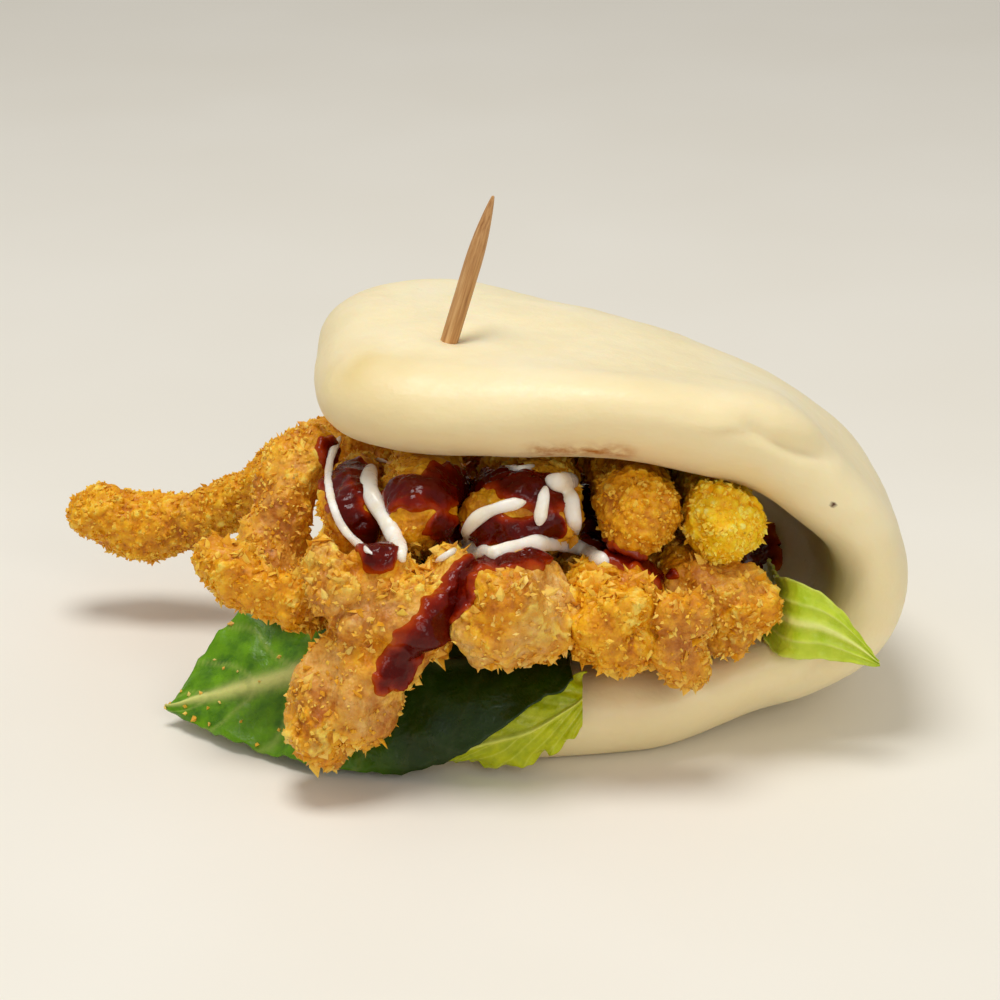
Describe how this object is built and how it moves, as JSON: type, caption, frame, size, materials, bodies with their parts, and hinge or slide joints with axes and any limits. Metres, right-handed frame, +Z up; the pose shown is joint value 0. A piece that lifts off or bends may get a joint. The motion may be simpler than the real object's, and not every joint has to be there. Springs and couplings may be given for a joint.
{
  "type": "steamed bun",
  "caption": "Folded steamed bun held shut by a toothpick, filled with crumbed fried strips on salad leaves; it stands flat on its lower flap.",
  "frame": {"origin": "middle of the object's box, on the surface it stands on", "axes": "+Z up; +X from the open mouth towards the fold of the bun; -Y towards the side where the filling shows most"},
  "size_m": [0.1032, 0.0724, 0.0631],
  "materials": {
    "dough": "soft steamed dough, satin",
    "pick_wood": "bare",
    "crust": "fried crumb",
    "crust_yellow": "fried crumb",
    "crust_pale": "fried batter",
    "crust_sauced": "wet with sauce",
    "leaf_green": "fresh leaf",
    "leaf_pale": "fresh leaf"
  },
  "bodies": {
    "root": {"bun": "dough", "toothpick": "pick_wood", "fried_strip_long": "crust", "fried_strip_upright": "crust", "fried_nub_left": "crust", "fried_nugget_left": "crust", "fried_nugget_right": "crust_yellow", "fried_piece_right": "crust", "fried_piece_orange": "crust", "fried_piece_pale": "crust_pale", "fried_piece_inner": "crust", "fried_piece_left": "crust_sauced", "fried_piece_back": "crust", "fried_piece_sauced": "crust_sauced", "fried_fork": "crust", "fried_flake": "crust_pale", "leaf_dark": "leaf_green", "leaf_back": "leaf_green", "leaf_frill": "leaf_pale", "leaf_light": "leaf_pale"}
  },
  "joints": []
}
